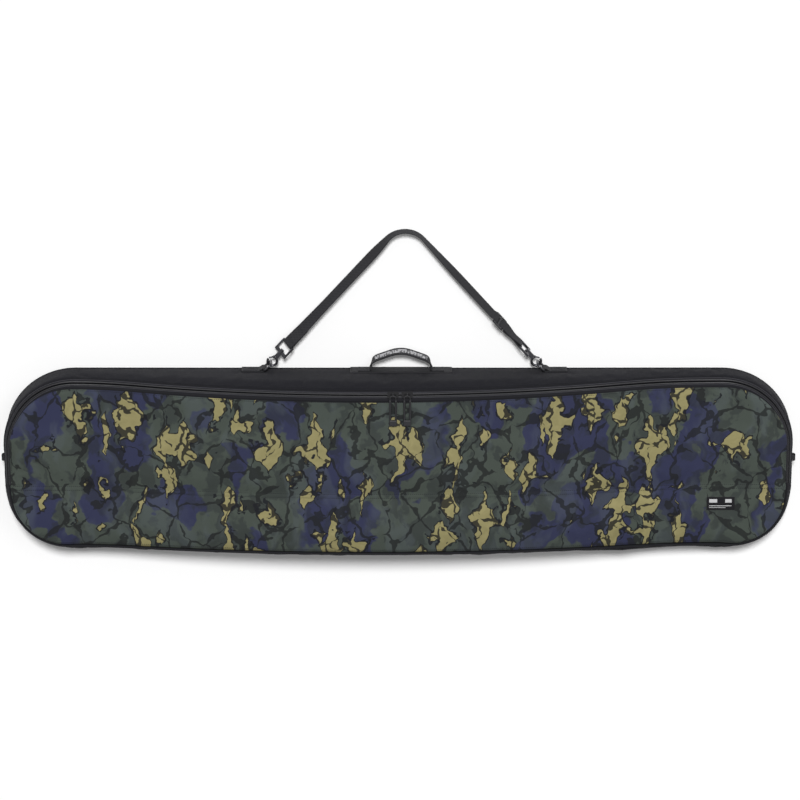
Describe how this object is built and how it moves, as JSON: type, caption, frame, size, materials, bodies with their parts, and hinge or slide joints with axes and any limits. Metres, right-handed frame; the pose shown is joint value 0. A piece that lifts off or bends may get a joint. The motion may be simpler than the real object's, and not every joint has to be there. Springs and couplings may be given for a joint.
{
  "type": "snowboard bag",
  "caption": "Long padded snowboard bag with a round-cornered camouflage front, zippered fold-down flap, carry handle and clip-on shoulder strap.",
  "frame": {"origin": "centre of the back panel, on the surface that the bag lies on", "axes": "+X along the bag, +Y towards the zipper, handle and strap, +Z out of the front face"},
  "size_m": [1.5916, 0.6475, 0.1342],
  "materials": {
    "black_fabric": "charcoal black plain-weave polyester",
    "buckle_plastic": "black moulded acetal",
    "camo_fabric": "printed polyester twill in navy, slate green and khaki camouflage",
    "hook_metal": "gunmetal plated die casting",
    "label_fabric": "black woven label with plain pale bars",
    "lining_fabric": "coated black nylon lining",
    "padding": "closed-cell foam padding",
    "pull_cord": "black moulded cord pull",
    "slider_metal": "black enamelled die casting",
    "webbing": "black polypropylene webbing",
    "zipper_chain": "black nylon coil",
    "zipper_tape": "black woven zipper tape"
  },
  "bodies": {
    "root": {"back_cover": "black_fabric", "back_foam": "padding", "gusset_top": "black_fabric", "gusset_bottom": "black_fabric", "gusset_left_end": "black_fabric", "gusset_right_end": "black_fabric", "wall_foam": "padding", "lower_front_cover_left": "camo_fabric", "lower_front_cover_middle": "camo_fabric", "lower_front_cover_right": "camo_fabric", "lower_front_foam": "padding", "lower_front_piping": "black_fabric", "body_lining": "lining_fabric", "rear_zipper_tape": "zipper_tape", "rear_zipper_chain": "zipper_chain", "zip_stop_left": "black_fabric", "zip_stop_right": "black_fabric", "woven_label": "label_fabric", "end_loop_left": "webbing", "end_loop_right": "webbing", "handle_base_strip": "webbing", "handle_anchor_left": "webbing", "handle_anchor_right": "webbing", "strap_tab_left": "webbing", "strap_tab_right": "webbing", "strap_ring_left": "hook_metal", "strap_ring_right": "hook_metal"},
    "front_flap": {"flap_cover_left": "camo_fabric", "flap_cover_middle": "camo_fabric", "flap_cover_right": "camo_fabric", "flap_foam": "padding", "flap_lining": "lining_fabric", "front_zipper_tape": "zipper_tape", "front_zipper_chain": "zipper_chain"},
    "left_slider": {"zip_slider_left": "slider_metal"},
    "right_slider": {"zip_slider_right": "slider_metal"},
    "left_pull": {"zip_pull_left": "pull_cord"},
    "right_pull": {"zip_pull_right": "pull_cord"},
    "carry_handle": {"carry_handle": "webbing"},
    "shoulder_strap": {"strap_webbing": "webbing", "strap_adjuster": "buckle_plastic", "left_hook_loop": "hook_metal", "right_hook_loop": "hook_metal"},
    "left_hook": {"left_hook": "hook_metal"},
    "right_hook": {"right_hook": "hook_metal"},
    "left_gate": {"left_hook_gate": "hook_metal"},
    "right_gate": {"right_hook_gate": "hook_metal"}
  },
  "joints": [
    {"name": "flap_fold", "type": "hinge", "parent": "root", "child": "front_flap", "pos_m": [0, -0.05, 0.1276], "axis": [1, 0, 0], "range_deg": [0, 150]},
    {"name": "left_slider_run", "type": "hinge", "parent": "front_flap", "child": "left_slider", "pos_m": [-0.05, 0.66005, -2.79834], "axis": [0, -0.9858, -0.1678], "range_deg": [0, 5.41]},
    {"name": "left_pull_swing", "type": "hinge", "parent": "left_slider", "child": "left_pull", "pos_m": [-0.0109, 0.16792, 0.13143], "axis": [-0.9999, -0.0022, 0.013], "range_deg": [0, 150]},
    {"name": "right_slider_run", "type": "hinge", "parent": "front_flap", "child": "right_slider", "pos_m": [-0.05, 0.66005, -2.79834], "axis": [0, 0.9858, 0.1678], "range_deg": [0, 5.41]},
    {"name": "right_pull_swing", "type": "hinge", "parent": "right_slider", "child": "right_pull", "pos_m": [0.01717, 0.16801, 0.13094], "axis": [-0.9997, -0.0038, 0.0223], "range_deg": [0, 150]},
    {"name": "handle_flop", "type": "hinge", "parent": "root", "child": "carry_handle", "pos_m": [0, 0.1945, 0.021], "axis": [1, 0, 0], "range_deg": [-15, 60], "stiffness_Nm_per_rad": 0.1},
    {"name": "strap_swing", "type": "hinge", "parent": "root", "child": "shoulder_strap", "pos_m": [0, 0.19593, 0.0189], "axis": [1, 0, 0], "range_deg": [0, 45]},
    {"name": "left_hook_swivel", "type": "hinge", "parent": "shoulder_strap", "child": "left_hook", "pos_m": [-0.25151, 0.19902, 0.02091], "axis": [0.6725, 0.7398, -0.0214], "range_deg": [-30, 0]},
    {"name": "left_gate_hinge", "type": "hinge", "parent": "left_hook", "child": "left_gate", "pos_m": [-0.24823, 0.20793, 0.02065], "axis": [0, 0.029, 0.9996], "range_deg": [0, 20], "stiffness_Nm_per_rad": 0.02},
    {"name": "right_hook_swivel", "type": "hinge", "parent": "shoulder_strap", "child": "right_hook", "pos_m": [0.27454, 0.19905, 0.02091], "axis": [-0.6655, 0.7461, -0.0216], "range_deg": [0, 30]},
    {"name": "right_gate_hinge", "type": "hinge", "parent": "right_hook", "child": "right_gate", "pos_m": [0.27134, 0.20799, 0.02065], "axis": [0, -0.029, -0.9996], "range_deg": [0, 20], "stiffness_Nm_per_rad": 0.02}
  ]
}
